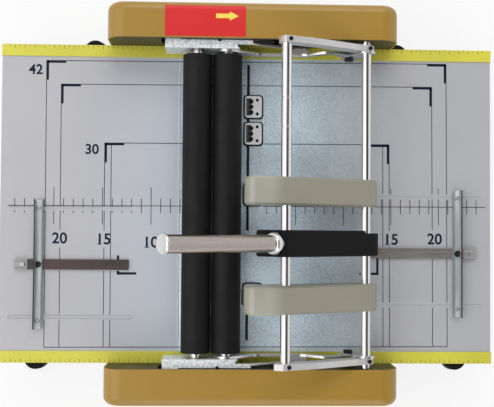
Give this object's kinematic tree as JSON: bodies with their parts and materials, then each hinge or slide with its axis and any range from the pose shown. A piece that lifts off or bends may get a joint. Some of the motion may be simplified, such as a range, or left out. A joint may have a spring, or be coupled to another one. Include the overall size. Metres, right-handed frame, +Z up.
{
  "type": "booklet maker",
  "caption": "Manual booklet maker: a printed table with stapler heads on a hinged frame, and a handle that drags rubber fold rollers over a slot where a blade rises.",
  "frame": {"origin": "on the floor under the middle of the fold slot, which is the bounding box's bottom centre", "axes": "+X to the right along the table, the way the handle is pulled; +Y to the back; +Z up"},
  "size_m": [0.507, 0.4, 0.2459],
  "materials": {
    "pan_grey": "satin",
    "table_paint": "satin",
    "table_zinc": "satin",
    "ruler_yellow": "satin",
    "casing_gold": "satin",
    "plate_olive": "satin",
    "zinc": "satin",
    "link_steel": "satin",
    "slider_steel": "satin",
    "rack_steel": "satin",
    "clinch_steel": "satin",
    "screw_steel": "polished",
    "foot_rubber": "matte",
    "guide_plastic": "matte",
    "stop_strip": "satin",
    "stop_steel": "satin",
    "bush_brass": "satin",
    "shaft_steel": "polished",
    "roller_rubber": "matte",
    "gear_plastic": "matte",
    "arm_metal": "satin",
    "rod_chrome": "polished",
    "lever_black": "satin",
    "tube_satin": "satin",
    "cap_chrome": "polished",
    "head_beige": "satin",
    "magazine_steel": "satin",
    "pusher_plastic": "matte",
    "blade_steel": "satin",
    "carrier_steel": "satin"
  },
  "bodies": {
    "base": {"base_pan": "pan_grey", "left_table": "table_paint", "right_table": "table_zinc", "ruler_front": "ruler_yellow", "ruler_back": "ruler_yellow", "casing_front": "casing_gold", "casing_back": "casing_gold", "side_plate_front": "plate_olive", "side_plate_back": "plate_olive", "fixed_rack_front": "rack_steel", "fixed_rack_back": "rack_steel", "slide_rail_front": "slider_steel", "slide_rail_back": "slider_steel", "anvil_back_outer": "clinch_steel", "anvil_back_inner": "clinch_steel", "anvil_middle": "clinch_steel", "anvil_front": "clinch_steel", "anvil_screws": "screw_steel", "feet": "foot_rubber", "blade_guides": "guide_plastic", "stop_rail_left": "stop_strip", "stop_rail_right": "stop_strip"},
    "carriage": {"bracket_front": "zinc", "bracket_back": "zinc", "side_link_front": "link_steel", "side_link_back": "link_steel", "outer_link_front": "link_steel", "outer_link_back": "link_steel", "pivot_ears": "link_steel", "link_bolts": "screw_steel", "slider_plate_front": "slider_steel", "slider_plate_back": "slider_steel", "roller_bushes": "bush_brass"},
    "roller_left": {"roller_shaft_left": "shaft_steel", "roller_rubber_left": "roller_rubber", "roller_gear_left": "gear_plastic"},
    "roller_right": {"roller_shaft_right": "shaft_steel", "roller_rubber_right": "roller_rubber", "roller_gear_right": "gear_plastic", "roller_pinions": "gear_plastic"},
    "blade": {"fold_blade": "blade_steel", "blade_carrier": "carrier_steel"},
    "press_frame": {"arm_front": "arm_metal", "arm_back": "arm_metal", "arm_screws": "screw_steel", "front_rod": "rod_chrome", "rear_rod": "rod_chrome", "lever_arm": "lever_black", "lever_tube": "tube_satin", "lever_caps": "cap_chrome"},
    "head_upper": {"head_cover_upper": "head_beige"},
    "head_lower": {"head_cover_lower": "head_beige"},
    "magazine_upper": {"magazine_upper": "magazine_steel"},
    "magazine_lower": {"magazine_lower": "magazine_steel"},
    "pusher_upper": {"pusher_upper": "pusher_plastic"},
    "pusher_lower": {"pusher_lower": "pusher_plastic"},
    "stop_left": {"stop_bar_left": "stop_steel", "stop_screw_left": "screw_steel"},
    "stop_right": {"stop_bar_right": "stop_steel", "stop_screw_right": "screw_steel"}
  },
  "joints": [
    {"name": "carriage_drag", "type": "slide", "parent": "base", "child": "carriage", "axis": [1, 0, 0], "range_m": [0, 0.037]},
    {"name": "roller_left_turn", "type": "hinge", "parent": "carriage", "child": "roller_left", "pos_m": [-0.052, 0, 0.083], "axis": [0, 1, 0], "range_deg": [-243, 0]},
    {"name": "roller_right_turn", "type": "hinge", "parent": "carriage", "child": "roller_right", "pos_m": [-0.022, 0, 0.083], "axis": [0, 1, 0], "range_deg": [0, 243]},
    {"name": "blade_rise", "type": "slide", "parent": "base", "child": "blade", "axis": [0, 0, 1], "range_m": [0, 0.014]},
    {"name": "frame_press", "type": "hinge", "parent": "carriage", "child": "press_frame", "pos_m": [0.117, 0, 0.094], "axis": [0, 1, 0], "range_deg": [-15, 0], "stiffness_Nm_per_rad": 5, "springref_deg": 28.65},
    {"name": "head_upper_slide", "type": "slide", "parent": "press_frame", "child": "head_upper", "axis": [0, 1, 0], "range_m": [-0.015, 0.115]},
    {"name": "head_lower_slide", "type": "slide", "parent": "press_frame", "child": "head_lower", "axis": [0, 1, 0], "range_m": [-0.03, 0.02]},
    {"name": "magazine_upper_lift", "type": "hinge", "parent": "head_upper", "child": "magazine_upper", "pos_m": [0.10019, 0.0105, 0.08641], "axis": [0, 1, 0], "range_deg": [0, 6], "stiffness_Nm_per_rad": 1, "springref_deg": -8.59},
    {"name": "pusher_upper_slide", "type": "slide", "parent": "magazine_upper", "child": "pusher_upper", "axis": [0.9659, 0, -0.2588], "range_m": [0, 0.06], "stiffness_N_per_m": 20, "springref_m": -0.03},
    {"name": "magazine_lower_lift", "type": "hinge", "parent": "head_lower", "child": "magazine_lower", "pos_m": [0.10019, -0.0925, 0.08641], "axis": [0, 1, 0], "range_deg": [0, 6], "stiffness_Nm_per_rad": 1, "springref_deg": -8.59},
    {"name": "pusher_lower_slide", "type": "slide", "parent": "magazine_lower", "child": "pusher_lower", "axis": [0.9659, 0, -0.2588], "range_m": [0, 0.06], "stiffness_N_per_m": 20, "springref_m": -0.03},
    {"name": "stop_left_slide", "type": "slide", "parent": "base", "child": "stop_left", "axis": [1, 0, 0], "range_m": [0, 0.085]},
    {"name": "stop_right_slide", "type": "slide", "parent": "base", "child": "stop_right", "axis": [1, 0, 0], "range_m": [-0.085, 0]}
  ],
  "couplings": [
    {"joint": "roller_left_turn", "follows": "carriage_drag", "rad_per_m": -114.29},
    {"joint": "roller_right_turn", "follows": "carriage_drag", "rad_per_m": 114.29},
    {"joint": "blade_rise", "follows": "carriage_drag", "ratio": 0.37838}
  ]
}
